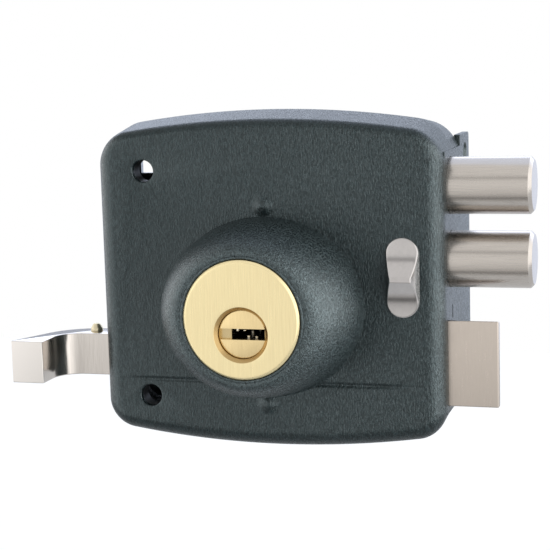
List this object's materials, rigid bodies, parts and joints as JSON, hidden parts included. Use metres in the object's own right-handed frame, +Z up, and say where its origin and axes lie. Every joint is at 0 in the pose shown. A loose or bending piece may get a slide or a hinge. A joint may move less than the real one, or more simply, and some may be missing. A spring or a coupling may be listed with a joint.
{
  "type": "rim box lock",
  "caption": "Surface-mounted door lock: bowed painted case, domed cylinder guard, brass key cylinder driving round bolts by rack and pinion, sprung latch with pull handle, and a thumb slide.",
  "frame": {"origin": "on the key axis, at the door's face, which is the back of the back plate", "axes": "+X towards the thrown bolts, +Y into the door, +Z up; the front of the lock faces -Y"},
  "size_m": [0.1715, 0.079, 0.1085],
  "materials": {
    "dark_paint": "dark grey paint with a fine leathery wrinkle, half gloss",
    "brass": "brushed, with bright machined edges",
    "nickel": "satin nickel plate",
    "zinc_steel": "zinc-plated steel",
    "spring_steel": "oiled spring wire"
  },
  "bodies": {
    "case": {"back_plate": "zinc_steel", "forend_plate": "dark_paint", "forend_rivets": "zinc_steel", "cover": "dark_paint", "cover_pillars": "zinc_steel", "cover_screws": "zinc_steel", "mount_sleeves": "zinc_steel", "cylinder_guard": "dark_paint", "guard_rivets": "dark_paint", "cylinder_body": "brass", "cylinder_screws": "zinc_steel", "driver_pins": "zinc_steel", "pin_springs": "spring_steel", "chamber_plugs": "brass", "carriage_posts": "zinc_steel", "bolt_bushes": "brass", "latch_guide": "zinc_steel", "latch_spring": "spring_steel", "spring_rod": "zinc_steel", "spring_seat": "zinc_steel"},
    "bolts": {"bolt_carriage": "zinc_steel", "upper_bolt": "nickel", "lower_bolt": "nickel", "bolt_screws": "zinc_steel"},
    "plug": {"plug": "brass", "plug_clip": "spring_steel", "key_pins": "zinc_steel", "drive_pinion": "zinc_steel"},
    "latch": {"latch_bolt": "nickel", "latch_pin": "zinc_steel", "draw_bar": "zinc_steel", "pull_handle": "nickel", "handle_pin": "brass"},
    "snib": {"snib_button": "nickel", "snib_slide": "zinc_steel", "snib_rivets": "zinc_steel"}
  },
  "joints": [
    {"name": "bolt_throw", "type": "slide", "parent": "case", "child": "bolts", "axis": [1, 0, 0], "range_m": [-0.0262, 0]},
    {"name": "plug_turn", "type": "hinge", "parent": "case", "child": "plug", "pos_m": [0, 0, 0], "axis": [0, 1, 0], "range_deg": [-360, 0]},
    {"name": "latch_draw", "type": "slide", "parent": "case", "child": "latch", "axis": [1, 0, 0], "range_m": [-0.0158, 0], "stiffness_N_per_m": 300, "springref_m": 0.012, "deforming": ["latch_spring"]},
    {"name": "snib_travel", "type": "slide", "parent": "case", "child": "snib", "axis": [0, 0, 1], "range_m": [-0.0065, 0]}
  ],
  "couplings": [
    {"joint": "plug_turn", "follows": "bolt_throw", "rad_per_m": 239.82}
  ]
}
